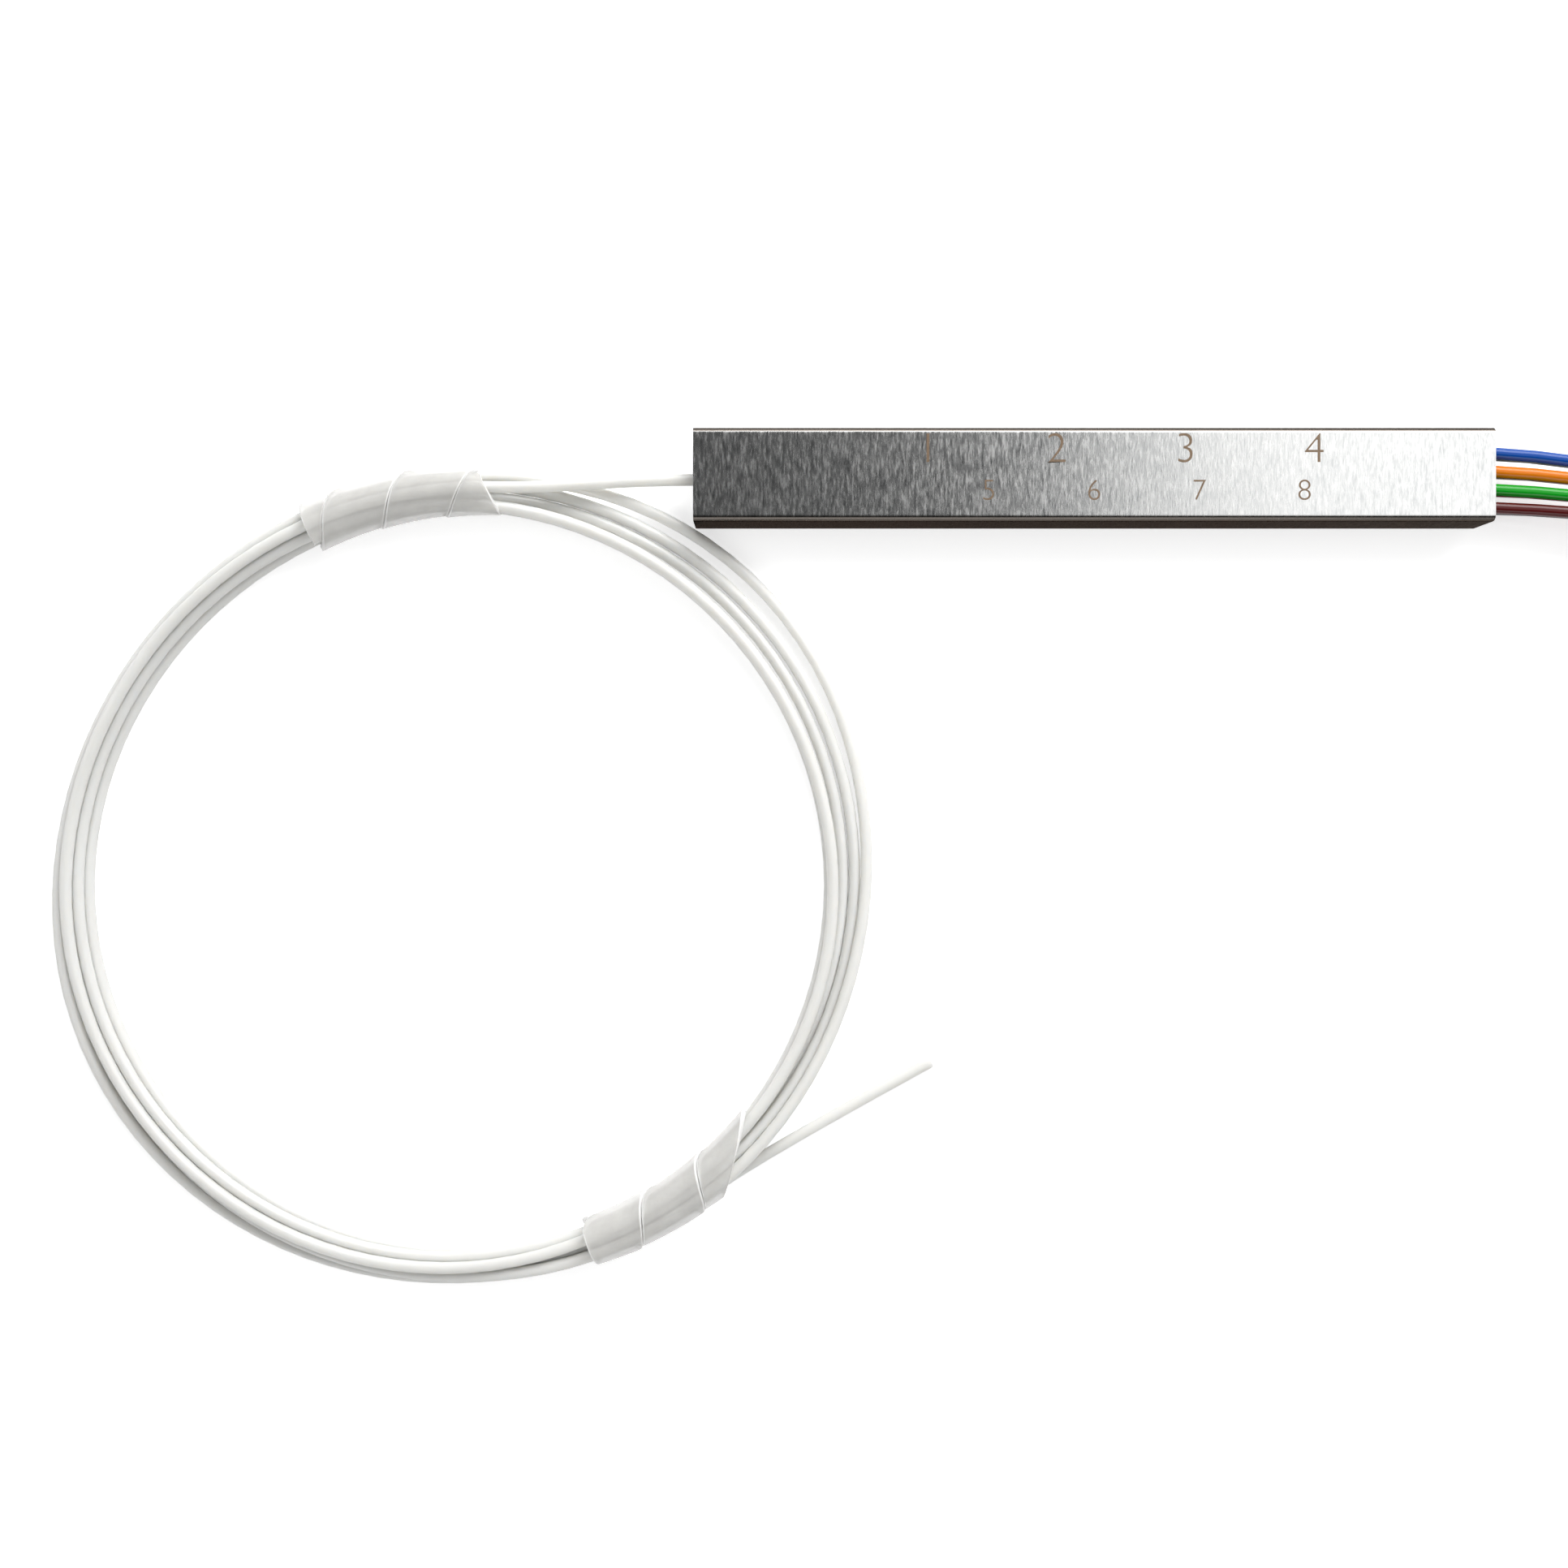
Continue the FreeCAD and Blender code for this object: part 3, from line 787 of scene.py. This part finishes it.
input_wraps = [input_wrap("input_spiral_top", wrap_top), input_wrap("input_spiral_bottom", wrap_bottom)]
output_wraps = [output_wrap("output_spiral_near", 54.0), output_wrap("output_spiral_far", -125.0)]

# %% [markdown]
# The housing is a drawn steel tube with a brushed finish: hair-fine scratches run across it. In the
# base colour they are paler and darker streaks, partly real grain and partly painted glints of light on
# the scratches.
# Noise squeezed along the tube and stretched across it makes them, in the roughness and in a very
# shallow bump. The narrow sides are painted dark brown, a painted reflection of a dark table that the
# steel there would mirror in place of the white floor.

# %% The housing's finish
housing_low, housing_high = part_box("housing_tube")


def steel_finish():
    material, wire = new_finish("brushed_steel")
    fine = span(grain(wire, (8500.0, 1400.0, 1400.0), detail=4.0, roughness=0.65), 0.27, 0.73)
    coarse = span(grain(wire, (3900.0, 760.0, 760.0), detail=4.0, roughness=0.65), 0.27, 0.73)
    clouds = grain(wire, (220.0, 160.0, 160.0), detail=3.0)
    hairs = 0.5 * fine + 0.5 * coarse
    side = wire.add("ShaderNodeSeparateXYZ", {}, {"Vector": place_of(wire)}, output="Y")
    half_width = (housing_high[1] - housing_low[1]) / 2
    edge_round = (0.42 * MM, 0.30 * MM)
    from_middle = side.math("ABSOLUTE", side)
    painted_side_reflection = span(from_middle, half_width - edge_round[0], half_width - edge_round[1])
    # Base colour streaks: partly brushed grain, partly painted glints of light on the scratches.
    grain_and_painted_glints = ramp(0.8 * hairs + 0.2 * clouds, (0.40, 0.415, 0.42), (0.92, 0.915, 0.90))
    # Painted reflection: the narrow sides get a dark brown base colour in place of a mirrored dark
    # table.
    sockets = {"Factor": painted_side_reflection * 0.96, "A": grain_and_painted_glints, "B": (0.06, 0.05, 0.042, 1.0)}
    colour = wire.add("ShaderNodeMix", {"data_type": "RGBA"}, sockets, output="Result")
    shade(wire, Base_Color=colour, Metallic=1.0, Roughness=0.13 + 0.24 * hairs,
          Specular_Tint=(0.2, 0.17, 0.15, 1.0), Normal=bump(wire, hairs, 0.004 * MM))
    return material


dress("housing_tube", steel_finish())
print("housing:", housing_low, housing_high)

# %% [markdown]
# The plugs are black resin. The parts behind them are polished silica and glass, clear
# adhesive and a soft white bed, with bare fibres between. They show only when it is opened.

# %% Finishes of the plugs and the glass


def plain_finish(name, colour, roughness, scale, depth, **extra):
    """A moulded or cast finish: a slight mottle, a varied gloss and a fine bump."""
    material, wire = new_finish(name)
    mottle = grain(wire, (scale, scale, scale), detail=4.0)
    darker = tuple(0.86 * part for part in colour)
    shade(wire, Base_Color=ramp(mottle, darker, colour), Roughness=roughness + 0.15 * mottle,
          Normal=bump(wire, mottle, depth * MM), **extra)
    return material


resin = plain_finish("black_resin", (0.035, 0.034, 0.035), 0.42, 2500.0, 0.02)
for node in ("input_end_plug", "output_end_plug"):
    dress(node, resin)
silica = plain_finish("polished_silica", (0.86, 0.90, 0.92), 0.04, 900.0, 0.001,
                      Transmission_Weight=0.9, IOR=1.46)
for node in ("splitter_chip", "chip_lid"):
    dress(node, silica)
glass = plain_finish("ground_glass", (0.88, 0.92, 0.89), 0.18, 1500.0, 0.003,
                     Transmission_Weight=0.8, IOR=1.52)
for node in ("input_array_base", "input_array_lid", "output_array_base", "output_array_lid"):
    dress(node, glass)
adhesive = plain_finish("clear_adhesive", (0.86, 0.80, 0.60), 0.12, 1200.0, 0.01,
                        Transmission_Weight=0.6, IOR=1.5)
for node in ("input_bead", "output_bead"):
    dress(node, adhesive)
dress("chip_bed", plain_finish("soft_bed", (0.80, 0.80, 0.78), 0.55, 1800.0, 0.02))
dress("input_fibre", plain_finish("clear_coat", (0.86, 0.86, 0.84), 0.2, 3000.0, 0.002))
for name, colour in tube_colours.items():
    dress("output_fibre_" + name, plain_finish(name + "_coat", colour, 0.2, 3000.0, 0.002))
print("finishes:", len(bpy.data.materials))

# %% [markdown]
# The top of the housing carries plain port numbers in two rows, as a laser leaves them: a thin
# brown line in the steel. Text objects make the figures, and each is turned into a flat mesh
# that lies a hair above the face.

# %% Port numbers


def mark_finish():
    material, wire = new_finish("laser_mark")
    burn = grain(wire, (5000.0, 5000.0, 5000.0), detail=5.0, roughness=0.7)
    shade(wire, Base_Color=ramp(burn, (0.06, 0.036, 0.02), (0.30, 0.21, 0.135)),
          Metallic=0.3, Roughness=0.38 + 0.3 * burn, Normal=bump(wire, burn, 0.02 * MM))
    return material


laser_mark = mark_finish()
top = housing_high[2]
mark_height = 0.004 * MM
thinner = 0.018


def row_of_numbers(name, words, size, spread, middle_x, base_y):
    """A row of figures, sizes in millimetres; spread widens the spaces between them."""
    text = bpy.data.curves.new(name, "FONT")
    text.body = words
    text.size = size * MM
    text.align_x = "CENTER"
    text.space_word = spread
    text.extrude = mark_height
    text.offset = -thinner * size * MM
    piece = bpy.data.objects.new(name, text)
    bpy.context.scene.collection.objects.link(piece)
    graph = bpy.context.evaluated_depsgraph_get()
    mesh = bpy.data.meshes.new_from_object(piece.evaluated_get(graph))
    bpy.data.objects.remove(piece)
    marks = bpy.data.objects.new(name, mesh)
    for vertex in mesh.vertices:
        vertex.co += Vector((middle_x * MM, base_y * MM, top + mark_height))
    mesh.materials.clear()
    mesh.materials.append(laser_mark)
    bpy.context.scene.collection.objects.link(marks)
    return marks


numbers = [row_of_numbers("port_numbers_upper", "1   2   3   4", 3.3, 2.9, 2.0, 0.8),
           row_of_numbers("port_numbers_lower", "5   6   7   8", 2.3, 3.5, 3.9, -2.0)]
print("rows of numbers:", len(numbers))

# %% [markdown]
# The studio is one smooth sweep: a round floor that curls up into a wall, so that no edge
# shows from any side. Camera, mirror and glass rays find it a little brighter than its paint,
# which turns it white and keeps the soft shadow, without more light on the part. The lamps
# reach less of the floor further out, so there that extra brightness grows.

# %% Floor and backdrop


def sweep_mesh():
    """A dish: a flat disc, a quarter round and a low wall, turned about the upright axis."""
    flat, curl, wall, sides = 1.1, 0.35, 0.9, 96
    profile = [(0.15, 0.0), (0.5, 0.0), (flat, 0.0)]
    bends = [math.radians(step) for step in range(10, 91, 10)]
    profile += [(flat + curl * math.sin(bend), curl * (1 - math.cos(bend))) for bend in bends]
    profile.append((flat + curl, wall))
    below_part = 0.02 * MM
    rings = len(profile)
    turns = [2 * math.pi * side / sides for side in range(sides)]
    vertices = [(radius * math.cos(turn), radius * math.sin(turn), height - below_part)
                for turn in turns for radius, height in profile]
    faces = []
    for side in range(sides):
        here, there = side * rings, (side + 1) % sides * rings
        faces += [(here + step, here + step + 1, there + step + 1, there + step)
                  for step in range(rings - 1)]
    faces.append([side * rings for side in range(sides)])
    mesh = bpy.data.meshes.new("studio_sweep")
    mesh.from_pydata(vertices, [], faces)
    mesh.shade_smooth()
    return mesh


def sweep_finish():
    material, wire = new_finish("studio_white")
    path = {name: wire.add("ShaderNodeLightPath", output=name)
            for name in ("Is Camera Ray", "Is Glossy Ray", "Is Transmission Ray")}
    seen = path["Is Camera Ray"].max(path["Is Glossy Ray"]).max(path["Is Transmission Ray"])
    near_glow, more_glow = 0.62, 0.38
    away = wire.add("ShaderNodeVectorMath", {"operation": "LENGTH"}, {"Vector": place_of(wire)},
                    output="Value")
    strength = seen * (near_glow + more_glow * span(away, 0.13, 0.5))
    paint = wire.add("ShaderNodeBsdfDiffuse", {}, {"Color": (0.80, 0.80, 0.80, 1.0)})
    glow = wire.add("ShaderNodeEmission", {}, {"Color": (1.0, 1.0, 1.0, 1.0), "Strength": strength})
    both = wire.add("ShaderNodeAddShader", {}, {0: paint, 1: glow})
    wire.add("ShaderNodeOutputMaterial", {}, {"Surface": both})
    return material


sweep = bpy.data.objects.new("studio_sweep", sweep_mesh())
sweep.data.materials.append(sweep_finish())
bpy.context.scene.collection.objects.link(sweep)
print("sweep faces:", len(sweep.data.polygons))

# %% [markdown]
# Steel shows what stands above it. One large soft panel over the right side turns that end of
# the housing bright, and the plain ceiling leaves the other end dark. The strongest lamp stands
# low at the right back, so shadows fall to the left front, and two weak ones fill them in.

# %% Lamps and world


def soft_lamp(name, place, target, size, power):
    """An area lamp at a place in metres that faces a target, with a size in metres and watts."""
    lamp_data = bpy.data.lights.new(name, "AREA")
    lamp_data.shape = "RECTANGLE"
    lamp_data.size, lamp_data.size_y = size
    lamp_data.energy = power
    lamp = bpy.data.objects.new(name, lamp_data)
    lamp.location = place
    lamp.rotation_euler = (Vector(target) - Vector(place)).to_track_quat("-Z", "Y").to_euler()
    lamp.visible_camera = False
    bpy.context.scene.collection.objects.link(lamp)


middle = (-0.04, -0.025, 0.0)
soft_lamp("key_right", (0.283, 0.085, 0.40), (0.283, 0.085, 0.0), (0.375, 0.44), 0.72)
soft_lamp("main_back", (0.10, 0.30, 0.24), middle, (0.42, 0.22), 2.3)
soft_lamp("fill_left", (-0.55, 0.0, 0.28), middle, (0.4, 0.4), 0.8)
soft_lamp("fill_front", (-0.05, -0.60, 0.33), middle, (0.7, 0.4), 1.4)
world = bpy.data.worlds.new("plain_ceiling")
world.use_nodes = True
world.node_tree.nodes["Background"].inputs["Color"].default_value = (1.0, 1.0, 1.0, 1.0)
world.node_tree.nodes["Background"].inputs["Strength"].default_value = 0.05
bpy.context.scene.world = world
bpy.context.scene.view_settings.view_transform = "Standard"
print("lamps:", len(bpy.data.lights))

# %% [markdown]
# Last, every new piece hangs from one root body, and the CAD nodes that they stand in for are hidden.

for piece in [input_cord, *output_cords, *input_wraps, *output_wraps, *numbers]:
    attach(piece, "root")
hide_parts("input_lead", "input_coil", "input_tail")
for wrap, node in zip([*input_wraps, *output_wraps],
                      ("input_wrap_top", "input_wrap_bottom", "output_wrap_near", "output_wrap_far")):
    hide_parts(node)
for name, cord in zip(output_names, output_cords):
    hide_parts("output_lead_" + name, "output_tail_" + name, "output_coil")
print("declared:", 1 + len(output_cords), "tubes")
